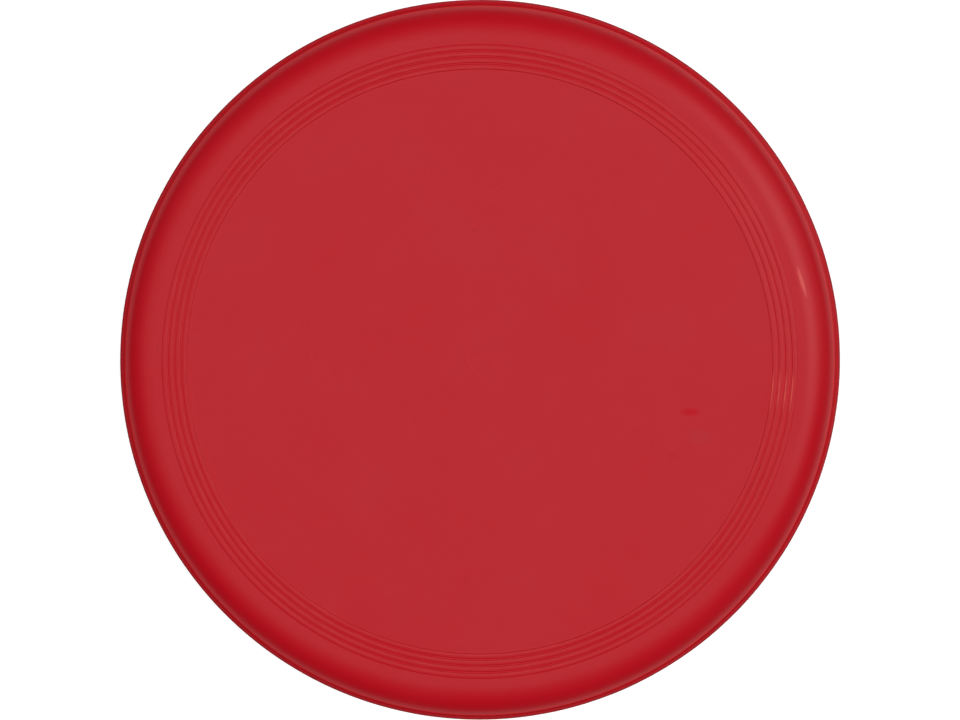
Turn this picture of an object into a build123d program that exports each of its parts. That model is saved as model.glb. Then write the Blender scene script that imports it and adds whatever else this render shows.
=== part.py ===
from build123d import *
import os
from math import cos, radians, sin, sqrt, tan

os.makedirs("parts", exist_ok=True)

# Flying disc, moulded in one shot from polypropylene: a flat plate with a band of four
# low concentric ribs, a round shoulder, a thin drafted skirt and a flared outer lip.
# Millimetres. +Z is up, Z = 0 is the face that it rests on, and Z is the spin axis.

# Driving dimensions
disc_diameter = 220.0
disc_height = 20.0
wall_thickness = 1.8

# Rib band on top of the plate: steep walls and a slightly arched crest, highest nearer the axis
rib_count = 4
rib_pitch = 1.97
rib_height = 0.25
rib_width = 1.65
rib_wall_run = 0.19
rib_apex_offset = 0.68
rib_crest_radius = 3.4
rib_band_inner_radius = 87.9

# Shoulder and skirt
shoulder_radius = 10.0
shoulder_centre_radius = 97.6
outer_draft = 3.0
inner_draft = 1.5

# Outer lip: flares from the foot of the skirt, and turns under in a small round
lip_top = 3.9
lip_edge_radius = 1.0
lip_crease_fillet = 0.3
inner_edge_fillet = 0.5

# Underside of the plate: gate well with its broken-off stub, and two low rings
gate_well_radius = 3.0
gate_well_depth = 0.4
gate_stub_radius = 1.1
gate_stub_height = 0.7
gate_stub_draft = 8.0
ring_radii = (33.0, 47.5)
ring_width = 1.0
ring_height = 0.25

# Levels and radii that follow from them
outer_radius = disc_diameter / 2
plate_top = disc_height - rib_height
plate_underside = plate_top - wall_thickness
shoulder_centre_z = plate_top - shoulder_radius
lip_edge_centre = outer_radius - lip_edge_radius


def shoulder_point(radius, elevation):
    """Point on the shoulder's section, at an angle above the horizontal."""
    angle = radians(elevation)
    return (shoulder_centre_radius + radius * cos(angle), shoulder_centre_z + radius * sin(angle))


def drafted(start, level, draft):
    """Point where a wall that widens downwards from start reaches a level."""
    return (start[0] + (start[1] - level) * tan(radians(draft)), level)


def crest_point(foot, offset):
    """Point on a rib's crest, at an offset outwards from its inner foot."""
    rise = sqrt(rib_crest_radius**2 - (offset - rib_apex_offset) ** 2)
    return (foot + offset, disc_height - rib_crest_radius + rise)


def underside_ring(radius):
    """Section of a low ring that stands down from the plate, from its outer edge inwards."""
    half = ring_width / 2
    bottom = (radius, plate_underside - ring_height)
    return (radius + half, plate_underside), bottom, (radius - half, plate_underside)


def top_outline():
    """Top of the plate with its ribs, from the axis to the shoulder."""
    start = (0, plate_top)
    for number in range(rib_count):
        foot = rib_band_inner_radius + number * rib_pitch
        inner_edge = crest_point(foot, rib_wall_run)
        outer_edge = crest_point(foot, rib_width - rib_wall_run)
        Polyline(start, (foot, plate_top), inner_edge)
        ThreePointArc(inner_edge, crest_point(foot, rib_apex_offset), outer_edge)
        start = (foot + rib_width, plate_top)
        Line(outer_edge, start)
    Line(start, shoulder_point(shoulder_radius, 90))


def outer_outline(skirt_top, skirt_foot):
    """Shoulder, outer skirt and lip, down to the resting face."""
    middle = (90 + outer_draft) / 2
    ThreePointArc(shoulder_point(shoulder_radius, 90), shoulder_point(shoulder_radius, middle), skirt_top)
    Line(skirt_top, skirt_foot)
    widest = (outer_radius, lip_edge_radius)
    TangentArc(widest, skirt_foot, tangent=(0, 1))
    halfway = lip_edge_radius * cos(radians(45))
    turned_under = (lip_edge_centre + halfway, lip_edge_radius - halfway)
    ThreePointArc(widest, turned_under, (lip_edge_centre, 0))


def inner_outline(hollow_top, hollow_foot):
    """Resting face, inner skirt and inner shoulder, up to the plate."""
    inner_radius = shoulder_radius - wall_thickness
    middle = (90 + inner_draft) / 2
    Line((lip_edge_centre, 0), hollow_foot)
    Line(hollow_foot, hollow_top)
    ThreePointArc(hollow_top, shoulder_point(inner_radius, middle), shoulder_point(inner_radius, 90))


def underside_outline():
    """Underside of the plate, from the shoulder to the axis."""
    start = shoulder_point(shoulder_radius - wall_thickness, 90)
    for radius in sorted(ring_radii, reverse=True):
        outer, bottom, inner = underside_ring(radius)
        Line(start, outer)
        ThreePointArc(outer, bottom, inner)
        start = inner
    well_floor = plate_underside + gate_well_depth
    stub_end = well_floor - gate_stub_height
    stub_end_radius = gate_stub_radius - gate_stub_height * tan(radians(gate_stub_draft))
    well_floor_radius = gate_well_radius - gate_well_depth
    Polyline(
        start,
        (gate_well_radius, plate_underside),
        (well_floor_radius, well_floor),
        (gate_stub_radius, well_floor),
        (stub_end_radius, stub_end),
        (0, stub_end),
    )
    Line((0, stub_end), (0, plate_top))


def disc():
    """The whole moulding: one section turned about the spin axis."""
    skirt_top = shoulder_point(shoulder_radius, outer_draft)
    skirt_foot = drafted(skirt_top, lip_top, outer_draft)
    hollow_top = shoulder_point(shoulder_radius - wall_thickness, inner_draft)
    hollow_foot = drafted(hollow_top, 0, inner_draft)
    with BuildPart() as moulding:
        with BuildSketch(Plane.XZ) as section:
            with BuildLine():
                top_outline()
                outer_outline(skirt_top, skirt_foot)
                inner_outline(hollow_top, hollow_foot)
                underside_outline()
            make_face()
            crease = section.vertices().sort_by_distance((*skirt_foot, 0))[0]
            fillet(crease, lip_crease_fillet)
            inner_edge = section.vertices().sort_by_distance((*hollow_foot, 0))[0]
            fillet(inner_edge, inner_edge_fillet)
        revolve(axis=Axis.Z)
    return moulding.part


export_step(disc(), "parts/disc.step")
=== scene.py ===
"""A one-piece flying disc: its moulded surface, its red plastic and a plain pale studio."""

import math
import bmesh
import bpy
from mathutils import Matrix, Vector, noise


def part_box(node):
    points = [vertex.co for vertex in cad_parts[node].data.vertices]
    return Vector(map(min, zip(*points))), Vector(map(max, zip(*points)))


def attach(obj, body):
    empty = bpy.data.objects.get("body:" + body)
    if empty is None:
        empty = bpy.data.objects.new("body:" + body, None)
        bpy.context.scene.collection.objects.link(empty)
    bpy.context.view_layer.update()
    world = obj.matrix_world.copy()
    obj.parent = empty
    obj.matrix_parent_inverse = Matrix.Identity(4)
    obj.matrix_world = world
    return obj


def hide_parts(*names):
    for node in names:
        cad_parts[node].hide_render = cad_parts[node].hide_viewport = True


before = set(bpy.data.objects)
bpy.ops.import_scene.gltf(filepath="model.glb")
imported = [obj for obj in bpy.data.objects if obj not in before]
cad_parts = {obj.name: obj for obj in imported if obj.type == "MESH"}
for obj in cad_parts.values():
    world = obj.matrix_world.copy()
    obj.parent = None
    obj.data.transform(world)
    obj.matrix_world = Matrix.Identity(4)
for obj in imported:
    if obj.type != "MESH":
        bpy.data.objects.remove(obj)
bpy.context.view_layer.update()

# Sizes are in millimetres and turn into metres where the mesh is written.
MM = 0.001
LOW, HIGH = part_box("disc")
OUTER_RADIUS = HIGH.x / MM
HEIGHT = HIGH.z / MM
WALL = 1.8

# Ribs on top of the plate
RIBS = 4
RIB_PITCH = 1.97
RIB_WIDTH = 1.65
RIB_WALL = 0.19
RIB_APEX = 0.68
RIB_CREST_RADIUS = 3.4
RIB_HEIGHT = 0.25
RIBS_START = 87.9
RIBS_END = RIBS_START + (RIBS - 1) * RIB_PITCH + RIB_WIDTH
PLATE_TOP = HEIGHT - RIB_HEIGHT
PLATE_UNDER = PLATE_TOP - WALL

# Shoulder and skirt
SHOULDER_RADIUS = 10.0
SHOULDER_CENTRE = (97.6, PLATE_TOP - SHOULDER_RADIUS)
OUTER_DRAFT = 3.0
INNER_DRAFT = 1.5

# Lip. The flank's arc stops some degrees short at each end: for the crease's fillet, and for the
# parting line, where rings lie close together.
LIP_TOP = 3.9
LIP_EDGE = 1.0
LIP_CENTRE = (OUTER_RADIUS - LIP_EDGE, LIP_EDGE)
FLANK_TRIM = (7.0, 2.0)
PARTING_TURN = 4.0
CREASE_FILLET = 0.3
INNER_EDGE_FILLET = 0.5

# Witness mark over the gate, the gate's well and stub, and the rings under the plate
WITNESS_RADIUS = 3.2
WITNESS_DEPTH = 0.05
GATE_WELL_RADIUS = 3.0
GATE_WELL_DEPTH = 0.4
GATE_STUB_RADIUS = 1.1
GATE_STUB_HEIGHT = 0.7
UNDER_RINGS = (33.0, 47.5)
UNDER_RING_WIDTH = 1.0
UNDER_RING_HEIGHT = 0.25

# Segments round each ring of the mesh: fine at the rim, coarser towards the middle. A ring a
# little way off an edge keeps the edge's shading off the flat beside it.
AROUND_RIM = 768
AROUND_RIBS = 384
AROUND_PLATE = 192
AROUND_CENTRE = 96
CENTRE_ENDS = 14.0
BESIDE_EDGE = 0.15
SHARP_ANGLE = 40.0

# What moulding and handling leave on it. An oval is how far it stands out and its azimuth; a
# dent is its azimuth, its tilt from the vertical, its size and its depth; a circle of ejector
# pins is their number, its radius and the first pin's azimuth.
WARP_HEIGHT = 0.05
WARP_LENGTH = 70.0
PLATE_OVAL = (0.09, 5.0)
RIM_OVAL = (0.12, 50.0)
FLASH_HEIGHT = 0.07
FLASH_HALF_WIDTH = 0.07
FLASH_EVEN = 0.6
FLASH_LUMPS = 9.0
DENTS = ((46.0, 60.0, 0.9, 0.12), (141.0, 72.0, 0.8, 0.10), (-32.0, 66.0, 0.8, 0.10))
PIN_RADIUS = 2.5
PIN_DEPTH = 0.12
PIN_CIRCLES = ((6, 68.0, 15.0), (3, 20.0, 45.0))


def arc(centre, radius, start, end, steps):
    """Points of the section along an arc. Angles are degrees above the horizontal."""
    points = []
    for step in range(steps + 1):
        angle = math.radians(start + (end - start) * step / steps)
        points.append((centre[0] + radius * math.cos(angle), centre[1] + radius * math.sin(angle)))
    return points


def line(start, end, steps):
    """Points of the section along a straight stretch."""
    return [
        tuple(a + (b - a) * step / steps for a, b in zip(start, end))
        for step in range(steps + 1)
    ]


def fillet(before, corner, after, radius, steps):
    """Points of a small arc that rounds one corner of the section."""
    corner = Vector(corner)
    towards = [(Vector(end) - corner).normalized() for end in (before, after)]
    half = towards[0].angle(towards[1]) / 2
    centre = corner + (towards[0] + towards[1]).normalized() * radius / math.sin(half)
    first, last = (corner + way * radius / math.tan(half) - centre for way in towards)
    turn = first.angle_signed(last)
    return [
        tuple(centre + Matrix.Rotation(-turn * step / steps, 2) @ first)
        for step in range(steps + 1)
    ]


def drafted(start, level, draft):
    """Point where a wall that widens downwards from start reaches a level."""
    return (start[0] + (start[1] - level) * math.tan(math.radians(draft)), level)


def plate_section():
    """Top of the plate, from the witness mark of the gate to the first rib."""
    low = PLATE_TOP - WITNESS_DEPTH
    centre = [(0.0, low), (1.2, low), (WITNESS_RADIUS - 0.5, low), (WITNESS_RADIUS - 0.25, low)]
    centre += [(WITNESS_RADIUS, PLATE_TOP), (WITNESS_RADIUS + 0.3, PLATE_TOP)]
    centre += line((5.0, PLATE_TOP), (CENTRE_ENDS, PLATE_TOP), 4)
    return centre, line((CENTRE_ENDS + 2, PLATE_TOP), (RIBS_START - BESIDE_EDGE, PLATE_TOP), 32)


def rib_section():
    """The ribs: steep walls, and a slightly arched crest that is highest nearer the axis."""
    points = []
    crest = RIB_WIDTH - 2 * RIB_WALL
    steps = 10
    toe_run, toe_rise = 0.03, 0.02
    for rib in range(RIBS):
        foot = RIBS_START + rib * RIB_PITCH
        far_foot = foot + RIB_WIDTH
        points += [(foot, PLATE_TOP), (foot + toe_run, PLATE_TOP + toe_rise)]
        for step in range(steps + 1):
            offset = RIB_WALL + crest * step / steps
            drop = RIB_CREST_RADIUS - math.sqrt(RIB_CREST_RADIUS**2 - (offset - RIB_APEX) ** 2)
            points.append((foot + offset, HEIGHT - drop))
        points += [(far_foot - toe_run, PLATE_TOP + toe_rise), (far_foot, PLATE_TOP)]
    return points + [(RIBS_END + BESIDE_EDGE, PLATE_TOP)]


def rim_section():
    """Shoulder, skirt, crease and lip, down to the resting face. The lip's flank is an arc that
    starts at the foot of the skirt and ends upright where the lip is widest."""
    shoulder = arc(SHOULDER_CENTRE, SHOULDER_RADIUS, 90, OUTER_DRAFT, 36)
    foot = drafted(shoulder[-1], LIP_TOP, OUTER_DRAFT)
    inwards, upwards = OUTER_RADIUS - foot[0], LIP_TOP - LIP_EDGE
    flank_radius = (inwards**2 + upwards**2) / (2 * inwards)
    flank_centre = (OUTER_RADIUS - flank_radius, LIP_EDGE)
    top_angle = math.degrees(math.asin(upwards / flank_radius))
    flank = arc(flank_centre, flank_radius, top_angle - FLANK_TRIM[0], FLANK_TRIM[1], 12)
    crease = fillet(shoulder[-1], foot, flank[0], CREASE_FILLET, 5)
    skirt = line(shoulder[-1], crease[0], 5)[1:-1]
    parting = arc(LIP_CENTRE, LIP_EDGE, PARTING_TURN, -PARTING_TURN, 4)
    edge = arc(LIP_CENTRE, LIP_EDGE, -PARTING_TURN - 2, -90, 8)
    return shoulder + skirt + crease + flank + parting + edge


def hollow_section():
    """Resting face, inner skirt and inner shoulder."""
    shoulder = arc(SHOULDER_CENTRE, SHOULDER_RADIUS - WALL, INNER_DRAFT, 90, 18)
    foot = drafted(shoulder[0], 0.0, INNER_DRAFT)
    edge = fillet((LIP_CENTRE[0], 0.0), foot, shoulder[0], INNER_EDGE_FILLET, 5)
    face = line((LIP_CENTRE[0], 0.0), edge[0], 3)[1:-1]
    skirt = line(edge[-1], shoulder[0], 5)[1:-1]
    return face + edge + skirt + shoulder


def under_section():
    """Underside of the plate with its rings, then the gate well and its stub."""
    points = []
    half = UNDER_RING_WIDTH / 2
    start = SHOULDER_CENTRE[0] - 1.5
    steps = 8
    for ring in sorted(UNDER_RINGS, reverse=True):
        points += line((start, PLATE_UNDER), (ring + half + BESIDE_EDGE, PLATE_UNDER), 10)
        for step in range(steps + 1):
            across = step / steps
            bulge = math.sin(math.pi * across) * UNDER_RING_HEIGHT
            points.append((ring + half - across * UNDER_RING_WIDTH, PLATE_UNDER - bulge))
        start = ring - half - 0.2
    points += line((start, PLATE_UNDER), (CENTRE_ENDS, PLATE_UNDER), 5)
    floor = PLATE_UNDER + GATE_WELL_DEPTH
    inside = GATE_WELL_RADIUS - GATE_WELL_DEPTH
    end = floor - GATE_STUB_HEIGHT
    centre = line((CENTRE_ENDS - 2, PLATE_UNDER), (GATE_WELL_RADIUS + 0.2, PLATE_UNDER), 4)
    centre += line((GATE_WELL_RADIUS, PLATE_UNDER), (inside, floor), 2)
    centre += line((inside - 0.1, floor), (GATE_STUB_RADIUS + 0.1, floor), 3)
    centre += line((GATE_STUB_RADIUS, floor), (GATE_STUB_RADIUS - 0.1, end), 3)
    centre += [(GATE_STUB_RADIUS - 0.2, end), (0.0, end)]
    return points, centre


def sections():
    """The whole outline as rings: (radius, height, segments round), from the top to the underside."""
    top_centre, top = plate_section()
    under, under_centre = under_section()
    stretches = (
        (top_centre, AROUND_CENTRE),
        (top, AROUND_PLATE),
        (rib_section(), AROUND_RIBS),
        (rim_section(), AROUND_RIM),
        (hollow_section(), AROUND_RIBS),
        (under, AROUND_PLATE),
        (under_centre, AROUND_CENTRE),
    )
    rings = []
    for points, around in stretches:
        for radius, height in points:
            if rings and math.dist(rings[-1][:2], (radius, height)) < 0.001:
                continue
            rings.append((radius, height, around))
    return rings


def smooth(low, high, value):
    """Smooth step from 0 at low to 1 at high."""
    share = min(max((value - low) / (high - low), 0.0), 1.0)
    return share * share * (3 - 2 * share)


def moulded(radius, height, angle):
    """Where a point of the ideal shape ends up: slight warp of the plate, a slight oval, flash at
    the mould's parting line round the lip, and a few small dents."""
    way = Vector((math.cos(angle), math.sin(angle), 0))
    if height > SHOULDER_CENTRE[1]:
        spot = way * (radius / WARP_LENGTH)
        fade = 1 - smooth(RIBS_START, SHOULDER_CENTRE[0], radius)
        height += WARP_HEIGHT * noise.noise(spot) * fade
    excess, azimuth = PLATE_OVAL if radius < RIBS_END else RIM_OVAL
    stretch = math.cos(2 * (angle - math.radians(azimuth)))
    radius += excess * stretch * min(radius / RIBS_START, 1.0)
    off_parting = abs(height - LIP_CENTRE[1])
    if radius > LIP_CENTRE[0] and off_parting < FLASH_HALF_WIDTH:
        uneven = FLASH_EVEN + (1 - FLASH_EVEN) * noise.noise(way * FLASH_LUMPS)
        radius += FLASH_HEIGHT * uneven * (1 - off_parting / FLASH_HALF_WIDTH)
    point = way * radius + Vector((0, 0, height))
    for turn, tilt, size, depth in DENTS:
        dent = dent_place(turn, tilt)
        depth *= math.exp(-((point - dent).length / size) ** 2)
        point -= (dent - shoulder_axis(turn)).normalized() * depth
    return point * MM


def shoulder_axis(turn):
    """Centre of the shoulder's arc at one azimuth."""
    angle = math.radians(turn)
    radius, height = SHOULDER_CENTRE
    return Vector((radius * math.cos(angle), radius * math.sin(angle), height))


def dent_place(turn, tilt):
    """Point of the shoulder at an azimuth and a tilt from the vertical, in degrees."""
    angle = math.radians(turn)
    lean = math.radians(tilt)
    out = Vector((math.cos(angle) * math.sin(lean), math.sin(angle) * math.sin(lean), math.cos(lean)))
    return shoulder_axis(turn) + out * SHOULDER_RADIUS


def bridge(mesh, ring, other):
    """Faces between two rings that have the same number of points, or one twice the other's."""
    if len(ring) == 1 or len(other) == 1:
        tip, rim = (ring[0], other) if len(ring) == 1 else (other[0], ring)
        for i, vertex in enumerate(rim):
            mesh.faces.new((tip, vertex, rim[(i + 1) % len(rim)]))
    elif len(ring) == len(other):
        for i, vertex in enumerate(ring):
            after = (i + 1) % len(ring)
            mesh.faces.new((vertex, ring[after], other[after], other[i]))
    else:
        coarse, fine = sorted((ring, other), key=len)
        for i, vertex in enumerate(coarse):
            after = coarse[(i + 1) % len(coarse)]
            first, middle, last = (fine[(2 * i + step) % len(fine)] for step in range(3))
            mesh.faces.new((vertex, first, middle))
            mesh.faces.new((vertex, middle, after))
            mesh.faces.new((after, middle, last))


def disc_mesh():
    """The turned surface of the disc as one closed mesh."""
    mesh = bmesh.new()
    rings = []
    for radius, height, around in sections():
        count = around if radius > 0 else 1
        turns = [2 * math.pi * i / count for i in range(count)]
        rings.append([mesh.verts.new(moulded(radius, height, turn)) for turn in turns])
    for ring, other in zip(rings, rings[1:]):
        bridge(mesh, ring, other)
    bmesh.ops.recalc_face_normals(mesh, faces=mesh.faces)
    return mesh


def object_from(mesh, name):
    """A scene object from a bmesh."""
    data = bpy.data.meshes.new(name)
    mesh.to_mesh(data)
    mesh.free()
    made = bpy.data.objects.new(name, data)
    bpy.context.scene.collection.objects.link(made)
    return made


def pin_cutter():
    """Short round plugs that leave the ejector pins' marks in the underside."""
    mesh = bmesh.new()
    reach = 1.0
    for count, radius, first in PIN_CIRCLES:
        for pin in range(count):
            angle = math.radians(first + 360 * pin / count)
            level = PLATE_UNDER + PIN_DEPTH - reach / 2
            place = Vector((radius * math.cos(angle), radius * math.sin(angle), level)) * MM
            bmesh.ops.create_cone(
                mesh, cap_ends=True, segments=48, radius1=PIN_RADIUS * MM, radius2=PIN_RADIUS * MM,
                depth=reach * MM, matrix=Matrix.Translation(place),
            )
    return object_from(mesh, "pin_cutter")


def press_pins(piece):
    """Cuts the ejector pins' marks and keeps the result as the piece's own mesh."""
    cutter = pin_cutter()
    cut = piece.modifiers.new("pin_marks", "BOOLEAN")
    cut.operation = "DIFFERENCE"
    cut.solver = "EXACT"
    cut.object = cutter
    graph = bpy.context.evaluated_depsgraph_get()
    piece.data = bpy.data.meshes.new_from_object(piece.evaluated_get(graph))
    piece.modifiers.clear()
    bpy.data.objects.remove(cutter)


def build_disc():
    """The disc, riding on the part's one body in place of the CAD solid."""
    piece = object_from(disc_mesh(), "disc_moulding")
    press_pins(piece)
    piece.data.shade_smooth()
    piece.data.set_sharp_from_angle(angle=math.radians(SHARP_ANGLE))
    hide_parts("disc")
    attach(piece, "root")
    return piece


class Nodes:
    """Short ways to build one node tree."""

    def __init__(self, tree):
        self.tree = tree
        tree.nodes.clear()

    def put(self, socket, value):
        """Links a socket to the input, or sets the input to a value."""
        if isinstance(value, bpy.types.NodeSocket):
            self.tree.links.new(value, socket)
        else:
            socket.default_value = value

    def add(self, kind, inputs=None, **settings):
        """A node with its settings, and with its inputs by name or number."""
        node = self.tree.nodes.new(kind)
        for name, value in settings.items():
            setattr(node, name, value)
        for name, value in (inputs or {}).items():
            self.put(node.inputs[name], value)
        return node

    def calc(self, operation, *values):
        """One sum."""
        inputs = dict(enumerate(values))
        return self.add("ShaderNodeMath", inputs, operation=operation).outputs[0]

    def vector(self, operation, *values, output="Vector"):
        """One vector sum."""
        inputs = dict(enumerate(values))
        return self.add("ShaderNodeVectorMath", inputs, operation=operation).outputs[output]

    def fade(self, value, low, high, start=0.0, end=1.0):
        """Smooth step of a value between two limits, from start to end."""
        inputs = {"Value": value, "From Min": low, "From Max": high, "To Min": start, "To Max": end}
        node = self.add("ShaderNodeMapRange", inputs, interpolation_type="SMOOTHSTEP")
        return node.outputs["Result"]

    def window(self, value, rise, fall):
        """Rises from 0 to 1 over one stretch of a value, and falls again over another."""
        return self.calc("MULTIPLY", self.fade(value, *rise), self.fade(value, *fall, 1.0, 0.0))

    def noise(self, place, size, detail, roughness=0.5):
        """Soft noise with features of a size, 0 to 1."""
        inputs = {"Vector": place, "Scale": 1 / size, "Detail": detail, "Roughness": roughness}
        return self.add("ShaderNodeTexNoise", inputs).outputs["Fac"]

    def spot(self, place, x, y, turn, half_length, half_width, top):
        """Soft oval patch on the top side, 1 in its middle and 0 outside."""
        turn = math.radians(turn)
        along = (math.cos(turn) / half_length, math.sin(turn) / half_length, 0.0)
        across = (-math.sin(turn) / half_width, math.cos(turn) / half_width, 0.0)
        offset = self.vector("SUBTRACT", place, (x, y, 0.0))
        squares = [self.calc("POWER", self.vector("DOT_PRODUCT", offset, way, output="Value"), 2.0)
                   for way in (along, across)]
        return self.calc("MULTIPLY", self.fade(self.calc("ADD", *squares), 0.0, 1.0, 1.0, 0.0), top)

    def streaks(self, place, turn, length, width):
        """Stretched noise: fine lines that lie along a turn."""
        turn = math.radians(turn)
        along = (math.cos(turn) / length, math.sin(turn) / length, 0.0)
        across = (-math.sin(turn) / width, math.cos(turn) / width, 0.0)
        u, v = (self.vector("DOT_PRODUCT", place, way, output="Value") for way in (along, across))
        where = self.add("ShaderNodeCombineXYZ", {"X": u, "Y": v}).outputs[0]
        return self.noise(where, 1.0, 1.0)

    def mix(self, share, first, second):
        """Colour between two."""
        node = self.add("ShaderNodeMix", {0: share, 6: first, 7: second}, data_type="RGBA")
        return node.outputs[2]


# Marks of use: centre, turn of the long side in degrees, half length and half width, and how
# strongly some of them show
MATTE_RUB = (63.3, -15.0, 0.0, 3.6, 1.5)
PALE_RUB = (66.3, -22.5, -10.0, 4.6, 3.0)
# The shoulder scuff is a scuff painted pale and bright, as a painted highlight
SHOULDER_SCUFF_HIGHLIGHT = (96.8, 24.1, 107.0, 6.0, 0.75)
SCUFF_HIGHLIGHT_SHARE = 0.60
DARK_SPECKS = (
    (57.9, -28.2, 10.0, 1.8, 1.2),
    (-1.5, 39.4, 0.0, 1.0, 0.8),
    (-3.9, -65.8, 0.0, 1.2, 0.9),
    (-96.7, 4.3, 80.0, 1.5, 0.5),
)
SPECK_SHARE = 0.4

# Where a glint is painted on the ribs' wear, at its strongest: azimuth and half its spread, in
# degrees
RIB_GLINT = (-5.5, 4.5)
GLINT_SHARE = 0.95
# Stretch of a rib's width, from its inner foot, that is worn and carries the painted glint: where it
# starts and where it ends
WORN_GLINTING_EDGE = ((0.05, 0.30), (0.40, 0.85))
# How much of the noise of the wear and of the painted glint there is to a degree of azimuth
WEAR_AND_GLINT_TURNING = 0.25

# Directions, length and width of the fine scratches
SCRATCH_TURNS = (24.0, 113.0)
SCRATCH_SIZE = (40.0, 0.35)

# Noise that marks the plastic's flow: how much it changes round the gate, how far its features
# reach outwards, and its detail
FLOW_ARCS = (1.3, 11.0, 3.0)
FLOW_RAYS = (22.0, 60.0, 2.0)
# Shares of the flow marks and of the mottling in what turns the red chalky
ARCS_SHARE = 0.40
RAYS_SHARE = 0.15
MOTTLE_SHARE = 0.45

# Size of the features in the plastic's other noise, and the depth of the finest relief
MOTTLE_SIZE = 24.0
GRAIN_SIZE = 0.35
SPECK_SIZE = 1.1
ORANGE_PEEL_SIZE = 1.6
ORANGE_PEEL_DEPTH = 0.004

# How far a noise or a place turns one red into another: from, to, first share, last share
CHALK = (0.35, 0.68, 0.0, 0.30)
GATE_HALO = (6.0, 15.0, 0.16, 0.0)
GRAIN = (0.30, 0.75, 0.0, 0.25)
SPECKS = (0.795, 0.83, 0.0, 0.8)
SCRATCHES = (0.73, 0.78, 0.0, 0.05)
RIB_PATCHES = (0.35, 0.80, 0.03, 0.14)
# Painted shade: the lip is darkened towards its crease, and at its outer edge where it is seen edge
# on
CREASE_PAINTED_SHADE = (108.4, 109.0, 0.45, 0.0)
LIP_EDGE_PAINTED_SHADE = (0.38, 0.75, 0.0, 0.6)

RED = (0.65, 0.0041, 0.0145, 1.0)
RED_DEEP = (0.60, 0.0039, 0.0118, 1.0)
RED_CHALKY = (0.65, 0.0125, 0.0210, 1.0)
RED_DARK = (0.55, 0.003, 0.008, 1.0)
RED_RUBBED = (0.62, 0.012, 0.022, 1.0)
# Pale colour of the hair-fine scratches, and of the painted highlight on the shoulder scuff and the
# painted glint on the ribs
PALE_SCUFF_AND_GLINT = (0.95, 0.125, 0.100, 1.0)
# Brighter red painted on the skirt where it is seen edge on, and the colour of its faint glow:
# painted light for what comes through the thin wall
RED_EDGE_GLOW = (1.0, 0.012, 0.018, 1.0)

# Heights and radii that part the top side from the underside, the skirt from the lip, and the
# shoulder from the plate
TOP_SIDE = (18.4, 18.9)
ABOVE_LIP = (5.0, 7.0)
BELOW_CREASE = (3.9, 4.5)
ON_SHOULDER = (101.0, 105.0)

# The thin skirt seen edge on, where a surface seen square on is at 0 and one seen edge on is at
# 1: where its gloss drops and a brighter red is painted on, and where it glows faintly, painted light
#    for what comes through the thin wall
GRAZING = (0.60, 0.92)
GLOWING = (0.40, 0.80, 0.0, 0.07)

# Level of the gloss, the same at the edge of the skirt, and what the matte rub takes off it
GLOSS = 0.50
GRAZING_GLOSS = 0.03
MATTE_LOSS = 0.32

# Roughness of the plastic, and what the mottling adds to it
ROUGHNESS = 0.17
MOTTLE_ROUGHNESS = 0.06


def flow(n, way, radius, turning, length, detail):
    """Noise stretched along the plastic's flow from the gate. Turning says how much it changes
    round the gate, and length how far its features reach outwards."""
    around = n.vector("MULTIPLY", way, (turning, turning, 0.0))
    outwards = n.add("ShaderNodeCombineXYZ", {"Z": n.calc("MULTIPLY", radius, 1 / length)}).outputs[0]
    return n.noise(n.vector("ADD", around, outwards), 1.0, detail)


def plastic_colour(n, place, radius, way, mottle):
    """Red that is chalkier in the flow marks, the mottling and a halo round the gate, and deeper
    in fine grain and sparse specks, with hair-fine scratches."""
    arcs = n.calc("MULTIPLY", flow(n, way, radius, *FLOW_ARCS), ARCS_SHARE)
    rays = n.calc("MULTIPLY", flow(n, way, radius, *FLOW_RAYS), RAYS_SHARE)
    blend = n.calc("ADD", arcs, n.calc("MULTIPLY", mottle, MOTTLE_SHARE))
    blend = n.calc("ADD", blend, rays)
    chalk = n.calc("ADD", n.fade(blend, *CHALK), n.fade(radius, *GATE_HALO))
    colour = n.mix(chalk, RED, RED_CHALKY)
    colour = n.mix(n.fade(n.noise(place, GRAIN_SIZE, 2.0), *GRAIN), colour, RED_DEEP)
    colour = n.mix(n.fade(n.noise(place, SPECK_SIZE, 1.0), *SPECKS), colour, RED_DEEP)
    for turn in SCRATCH_TURNS:
        scratch = n.fade(n.streaks(place, turn, *SCRATCH_SIZE), *SCRATCHES)
        colour = n.mix(scratch, colour, PALE_SCUFF_AND_GLINT)
    return colour


def rib_wear_and_glint(n, place, radius):
    """Scuffing on the inner edge of the ribs' crests, patchy all round, with a painted glint (a
    painted highlight) where it is strongest.
    """
    offset = n.calc("SUBTRACT", radius, RIBS_START)
    edge = n.window(n.calc("MODULO", offset, RIB_PITCH), *WORN_GLINTING_EDGE)
    band = n.window(radius, (RIBS_START - 0.1, RIBS_START), (RIBS_END, RIBS_END + 0.1))
    x, y, _ = n.add("ShaderNodeSeparateXYZ", {0: place}).outputs
    azimuth = n.calc("MULTIPLY", n.calc("ARCTAN2", y, x), math.degrees(1.0))
    middle, reach = RIB_GLINT
    glint = n.window(azimuth, (middle - reach, middle - 1), (middle + 1, middle + reach))
    turn = n.calc("MULTIPLY", azimuth, WEAR_AND_GLINT_TURNING)
    rubbed = n.add("ShaderNodeCombineXYZ", {"X": turn, "Y": radius}).outputs[0]
    patchy = n.fade(n.noise(rubbed, 1.0, 3.0), *RIB_PATCHES)
    # Painted highlight: the glint on the ribs' inner edges in one stretch of azimuth.
    painted_glint = n.calc("MULTIPLY", glint, n.noise(rubbed, 0.6, 2.0))
    amount = n.calc("MULTIPLY_ADD", painted_glint, GLINT_SHARE, patchy)
    return n.calc("MULTIPLY", n.calc("MULTIPLY", edge, band), amount)


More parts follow.
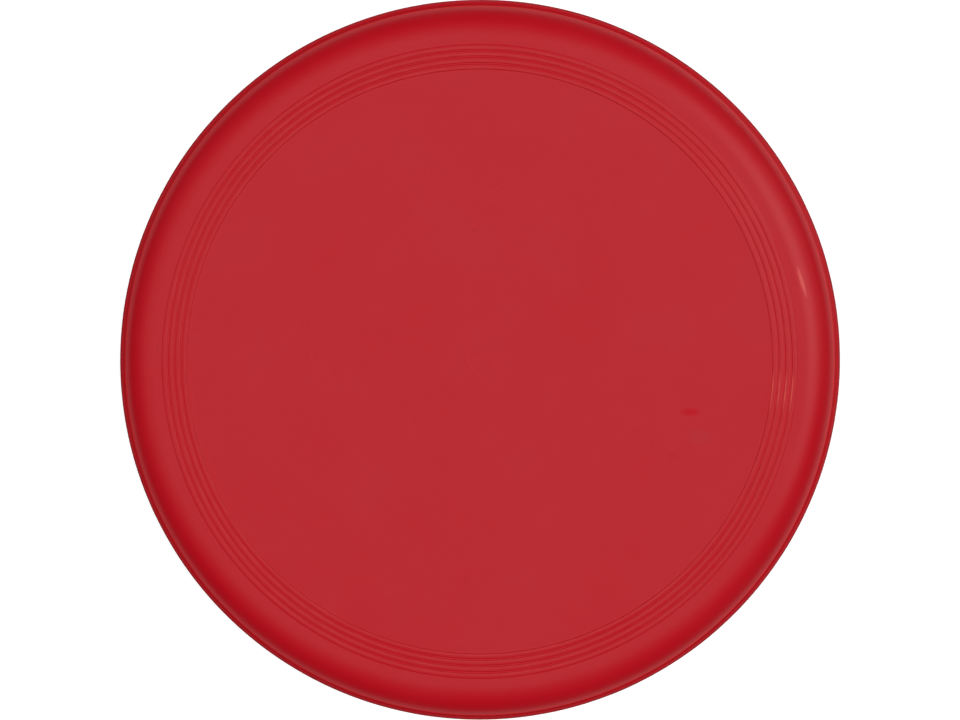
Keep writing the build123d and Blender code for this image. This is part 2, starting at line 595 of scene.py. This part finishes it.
def marks_of_use(n, colour, place, radius, top):
    """The colour with dark specks, a pale rub, a scuff on the shoulder painted as a bright highlight,
    and wear on the ribs with a painted glint, all on the top side."""
    for speck in DARK_SPECKS:
        share = n.calc("MULTIPLY", n.spot(place, *speck, top), SPECK_SHARE)
        colour = n.mix(share, colour, RED_DARK)
    colour = n.mix(n.spot(place, *PALE_RUB, top), colour, RED_RUBBED)
    # Painted highlight: the scuff on the shoulder is painted pale and bright.
    scuff_highlight = n.calc("MULTIPLY", n.spot(place, *SHOULDER_SCUFF_HIGHLIGHT, top), SCUFF_HIGHLIGHT_SHARE)
    colour = n.mix(scuff_highlight, colour, PALE_SCUFF_AND_GLINT)
    return n.mix(n.calc("MULTIPLY", rib_wear_and_glint(n, place, radius), top), colour, PALE_SCUFF_AND_GLINT)


def moulded_red():
    """Satin red polypropylene with its marks of use. Where the thin skirt is seen edge on, its gloss
    is duller, and a brighter red and a faint red glow are painted on as painted light for what comes
    through the thin wall; painted shade darkens the lip at its crease and at its outer edge."""
    material = bpy.data.materials.new("moulded_red")
    material.use_nodes = True
    n = Nodes(material.node_tree)
    metres = n.add("ShaderNodeTexCoord").outputs["Object"]
    place = n.vector("SCALE", metres)
    n.put(place.node.inputs["Scale"], 1 / MM)
    flat = n.vector("MULTIPLY", place, (1.0, 1.0, 0.0))
    radius = n.vector("LENGTH", flat, output="Value")
    way = n.vector("NORMALIZE", flat)
    height = n.add("ShaderNodeSeparateXYZ", {0: place}).outputs["Z"]
    top = n.fade(height, *TOP_SIDE)

    mottle = n.noise(place, MOTTLE_SIZE, 4.0, 0.6)
    colour = plastic_colour(n, place, radius, way, mottle)
    colour = marks_of_use(n, colour, place, radius, top)
    matte = n.spot(place, *MATTE_RUB, top)

    facing = n.add("ShaderNodeLayerWeight", {"Blend": 0.5}).outputs["Facing"]
    skirt = n.calc("MULTIPLY", n.fade(height, *ABOVE_LIP), n.fade(radius, *ON_SHOULDER))
    grazing = n.calc("MULTIPLY", n.fade(facing, *GRAZING), skirt)
    # Painted light: a brighter red on the skirt where it is seen edge on.
    colour = n.mix(grazing, colour, RED_EDGE_GLOW)
    # Painted shade: the lip is darkened near its crease and at its outer edge where it is seen edge
    # on.
    painted_shade = n.calc("MAXIMUM", n.fade(facing, *LIP_EDGE_PAINTED_SHADE), n.fade(radius, *CREASE_PAINTED_SHADE))
    lip = n.fade(height, *BELOW_CREASE, 1.0, 0.0)
    colour = n.mix(n.calc("MULTIPLY", painted_shade, lip), colour, RED_DARK)

    gloss = n.fade(grazing, 0.0, 1.0, GLOSS, GRAZING_GLOSS)
    gloss = n.calc("SUBTRACT", gloss, n.calc("MULTIPLY", matte, MATTE_LOSS))
    roughness = n.calc("ADD", ROUGHNESS, n.calc("MULTIPLY", mottle, MOTTLE_ROUGHNESS))
    peel = n.calc("MULTIPLY", n.noise(place, ORANGE_PEEL_SIZE, 3.0), ORANGE_PEEL_DEPTH * MM)
    bump = n.add("ShaderNodeBump", {"Strength": 1.0, "Distance": 1.0, "Height": peel})
    shader = n.add("ShaderNodeBsdfPrincipled", {
        "Base Color": colour,
        "Roughness": roughness,
        "IOR": 1.5,
        "Specular IOR Level": gloss,
        "Normal": bump.outputs["Normal"],
        # A faint red glow on the skirt seen edge on: painted light, not a lamp.
        "Emission Color": RED_EDGE_GLOW,
        "Emission Strength": n.calc("MULTIPLY", n.fade(facing, *GLOWING), skirt),
    })
    n.add("ShaderNodeOutputMaterial", {"Surface": shader.outputs[0]})
    return material


# The floor is in metres. Near the disc, by distance from its middle: where the light on the floor
# rises past the disc's shadow, and where that fades out.
FLOOR_HALF_WIDTH = 4.0
FLOOR_GAP = 0.0001
FLOOR_CONTACT = (0.109, 0.124)
FLOOR_NEAR_REACH = (0.124, 0.160)
# Brightness that the plastic's gloss mirrors, far from the disc and added near it
FLOOR_MIRRORED = 0.062
FLOOR_NEAR = 0.12
# Brightness near the disc that lights the plastic's colour
FLOOR_DIFFUSE = 1.30
# Both grow towards one side, the second by a smaller share
FLOOR_SLOPE = (0.70, 0.25, 0.0)
FLOOR_DIFFUSE_SLOPE = 0.2
# Colour of the floor as the camera sees it, its colour for the light on the plastic, and the
# brightness that overexposes it
FLOOR_PAPER = (0.8, 0.8, 0.8, 1.0)
FLOOR_DULL = (0.20, 0.20, 0.20, 1.0)
FLOOR_LIFT = 0.62


def floor_material():
    """Pale floor. Seen directly it is overexposed to white, as studio paper is. The plastic's
    gloss mirrors it as the dim room that it is in, and the floor just past the disc's own
    shadow throws light back on the skirt."""
    material = bpy.data.materials.new("pale_paper")
    material.use_nodes = True
    n = Nodes(material.node_tree)
    rays = n.add("ShaderNodeLightPath").outputs
    paper = n.add("ShaderNodeBsdfDiffuse", {"Color": FLOOR_PAPER}).outputs[0]
    lift = n.add("ShaderNodeEmission", {"Strength": FLOOR_LIFT}).outputs[0]
    seen = n.add("ShaderNodeAddShader", {0: paper, 1: lift}).outputs[0]

    place = n.add("ShaderNodeTexCoord").outputs["Object"]
    slope = n.vector("DOT_PRODUCT", n.vector("NORMALIZE", place), FLOOR_SLOPE, output="Value")
    away = n.vector("LENGTH", place, output="Value")
    near = n.window(away, FLOOR_CONTACT, FLOOR_NEAR_REACH)
    far = n.calc("MULTIPLY_ADD", slope, FLOOR_MIRRORED, FLOOR_MIRRORED)
    level = n.calc("MULTIPLY_ADD", near, FLOOR_NEAR, far)
    mirrored = n.add("ShaderNodeEmission", {"Strength": level}).outputs[0]

    dull = n.add("ShaderNodeBsdfDiffuse", {"Color": FLOOR_DULL}).outputs[0]
    level = n.calc("MULTIPLY_ADD", slope, FLOOR_DIFFUSE * FLOOR_DIFFUSE_SLOPE, FLOOR_DIFFUSE)
    glow = n.add("ShaderNodeEmission", {"Strength": n.calc("MULTIPLY", level, near)}).outputs[0]
    dull = n.add("ShaderNodeAddShader", {0: dull, 1: glow}).outputs[0]

    other = n.add("ShaderNodeMixShader", {0: rays["Is Glossy Ray"], 1: dull, 2: mirrored}).outputs[0]
    shown = n.add("ShaderNodeMixShader", {0: rays["Is Camera Ray"], 1: other, 2: seen}).outputs[0]
    n.add("ShaderNodeOutputMaterial", {"Surface": shown})
    return material


def build_floor():
    """Floor just under the resting face."""
    mesh = bmesh.new()
    bmesh.ops.create_grid(mesh, x_segments=8, y_segments=8, size=FLOOR_HALF_WIDTH)
    floor = object_from(mesh, "floor")
    floor.location.z = LOW.z - FLOOR_GAP
    floor.data.materials.append(floor_material())


# Surroundings, as levels in the plastic's gloss. An edge is where a level starts and stops to
# change, along the x, y or z part of a direction.
SOFTBOX_LEVEL = 0.375
SOFTBOX_X = ((-1.16, -0.59), (0.60, 0.98))
SOFTBOX_Y = ((-0.75, 0.23), (0.05, 0.98))
GLOW_LEVEL = 1.0
GLOW_CENTRE = (0.58, 0.17, 0.0)
GLOW_REACH = (0.56, 0.60, 1.0)
ROOM_LEVEL = 0.058
ROOM_SLOPE = (0.9, 0.25, 0.0)
HORIZON = (-0.08, 0.08)

# The same surroundings as light on the plastic's colour: a gain, and a dome that is brightest
# straight above
DIFFUSE_GAIN = 0.5
DIFFUSE_DOME = 1.86
DOME_POWER = 3.0

# Light from below, which the floor keeps off unless it is hidden to look at the underside
UNDER_LEVEL = 0.6
UNDER_FLOOR = (-0.30, -0.05)


def build_world():
    """Soft studio surroundings in a dim room: a wide softbox overhead, with a glow towards +X.
    The camera sees plain white, and the plastic's colour and gloss each have their own levels."""
    world = bpy.data.worlds.new("studio")
    bpy.context.scene.world = world
    world.use_nodes = True
    world.cycles.sampling_method = "NONE"
    n = Nodes(world.node_tree)
    rays = n.add("ShaderNodeLightPath").outputs
    way = n.add("ShaderNodeTexCoord").outputs["Generated"]
    x, y, z = n.add("ShaderNodeSeparateXYZ", {0: way}).outputs
    above = n.fade(z, *HORIZON)

    softbox = n.calc("MULTIPLY", n.window(x, *SOFTBOX_X), n.window(y, *SOFTBOX_Y))
    level = n.calc("MULTIPLY", softbox, SOFTBOX_LEVEL)
    off_glow = n.vector("DIVIDE", n.vector("SUBTRACT", way, GLOW_CENTRE), GLOW_REACH)
    off_glow = n.vector("LENGTH", n.vector("MULTIPLY", off_glow, (1.0, 1.0, 0.0)), output="Value")
    level = n.calc("ADD", level, n.fade(off_glow, 0.0, 1.0, GLOW_LEVEL, 0.0))
    slope = n.vector("DOT_PRODUCT", way, ROOM_SLOPE, output="Value")
    room = n.calc("MAXIMUM", n.calc("MULTIPLY_ADD", slope, ROOM_LEVEL, ROOM_LEVEL), 0.0)
    mirrored = n.calc("MULTIPLY", n.calc("ADD", level, room), above)

    overhead = n.calc("POWER", n.calc("MAXIMUM", z, 0.0), DOME_POWER)
    dome = n.calc("MULTIPLY", n.calc("MULTIPLY", above, DIFFUSE_DOME), overhead)
    diffuse = n.calc("MULTIPLY_ADD", mirrored, DIFFUSE_GAIN, dome)

    levels = {0: rays["Is Diffuse Ray"], 2: mirrored, 3: diffuse}
    lit = n.add("ShaderNodeMix", levels, data_type="FLOAT").outputs[0]
    lit = n.calc("ADD", lit, n.fade(z, *UNDER_FLOOR, UNDER_LEVEL, 0.0))
    lit = n.add("ShaderNodeBackground", {"Strength": lit}).outputs[0]
    white = n.add("ShaderNodeBackground", {"Color": (1.0, 1.0, 1.0, 1.0)}).outputs[0]
    shown = n.add("ShaderNodeMixShader", {0: rays["Is Camera Ray"], 1: lit, 2: white}).outputs[0]
    n.add("ShaderNodeOutputWorld", {"Surface": shown})


# The key light: degrees, metres and watts
KEY_TILT = 14.0
KEY_AZIMUTH = 30.0
KEY_DISTANCE = 1.5
KEY_SIZE = 0.25
KEY_POWER = 1.8


def build_key():
    """A square soft light above the disc, at a tilt from the vertical towards an azimuth. It
    lights the plastic's colour and doesn't show in its gloss."""
    data = bpy.data.lights.new("key", "AREA")
    data.size = KEY_SIZE
    data.energy = KEY_POWER
    light = bpy.data.objects.new("key", data)
    bpy.context.scene.collection.objects.link(light)
    lean, turn = math.radians(KEY_TILT), math.radians(KEY_AZIMUTH)
    way = Vector((math.sin(lean) * math.cos(turn), math.sin(lean) * math.sin(turn), math.cos(lean)))
    light.location = way * KEY_DISTANCE
    light.rotation_euler = way.to_track_quat("Z", "Y").to_euler()
    light.visible_camera = False
    light.visible_glossy = False


# The disc fills the frame from top to bottom, seen from almost straight above. In metres: how far
# the camera stands off the point that it is aimed at, and how far that point is off the axis.
CAMERA_HEIGHT = 1.1
CAMERA_OFFSET = (0.007, 0.0257)
CAMERA_AIM = (0.00005, 0.00016)
FRAME_WIDTH, FRAME_HEIGHT = 960, 720
FILL = 0.9997


def build_camera():
    """Camera above the disc, a little towards +X and +Y, with +Y at the top of the picture."""
    data = bpy.data.cameras.new("camera")
    camera = bpy.data.objects.new("camera", data)
    bpy.context.scene.collection.objects.link(camera)
    away = Vector((*CAMERA_OFFSET, CAMERA_HEIGHT))
    camera.location = Vector((*CAMERA_AIM, LIP_CENTRE[1] * MM)) + away
    camera.rotation_euler.x = -math.asin(away.y / away.length)
    camera.rotation_euler.y = math.atan2(away.x, away.z)
    shown_width = 2 * OUTER_RADIUS * MM / FILL * FRAME_WIDTH / FRAME_HEIGHT
    data.lens = data.sensor_width * away.length / shown_width
    data.clip_start = 0.01
    bpy.context.scene.camera = camera


disc = build_disc()
disc.data.materials.clear()
disc.data.materials.append(moulded_red())
build_floor()
build_world()
build_key()
build_camera()
bpy.context.scene.view_settings.view_transform = "Standard"
